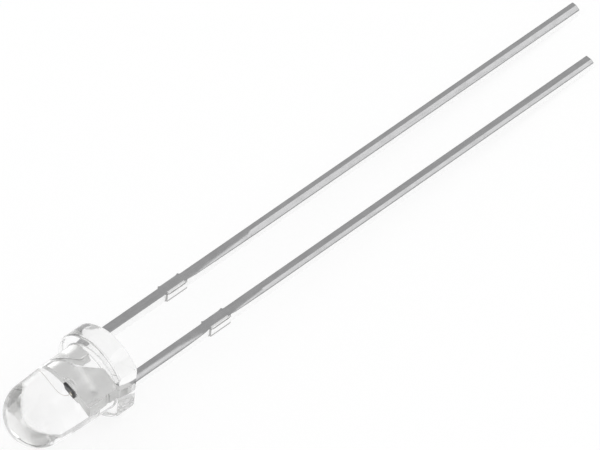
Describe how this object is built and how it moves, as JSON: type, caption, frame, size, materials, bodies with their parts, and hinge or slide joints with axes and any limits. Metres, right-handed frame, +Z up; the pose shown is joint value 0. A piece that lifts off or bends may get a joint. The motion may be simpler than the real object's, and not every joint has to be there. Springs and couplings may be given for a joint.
{
  "type": "through hole led",
  "caption": "Round water-clear lamp body with a domed lens and a flange that has one flat, on two long straight stamped leads of unequal length.",
  "frame": {"origin": "on the surface that the lamp lies on, under the middle of its box", "axes": "+Z up; +X along the lamp from the lens to the lead tips, as seen from above; +Y from the cathode lead to the anode lead"},
  "size_m": [0.0342, 0.0036, 0.0039],
  "materials": {
    "clear_epoxy": "water-clear cast resin, polished by its mould",
    "tinned_steel": "tin-plated stamped sheet, satin, with sheared stubs",
    "silver_adhesive": "silver-filled adhesive",
    "semiconductor": "sawn chip with a polished top",
    "gold_wire": "drawn gold wire"
  },
  "bodies": {
    "root": {"epoxy_lens": "clear_epoxy", "anode_lead": "tinned_steel", "cathode_lead": "tinned_steel", "die_attach": "silver_adhesive", "led_chip": "semiconductor", "bond_wire": "gold_wire"}
  },
  "joints": []
}
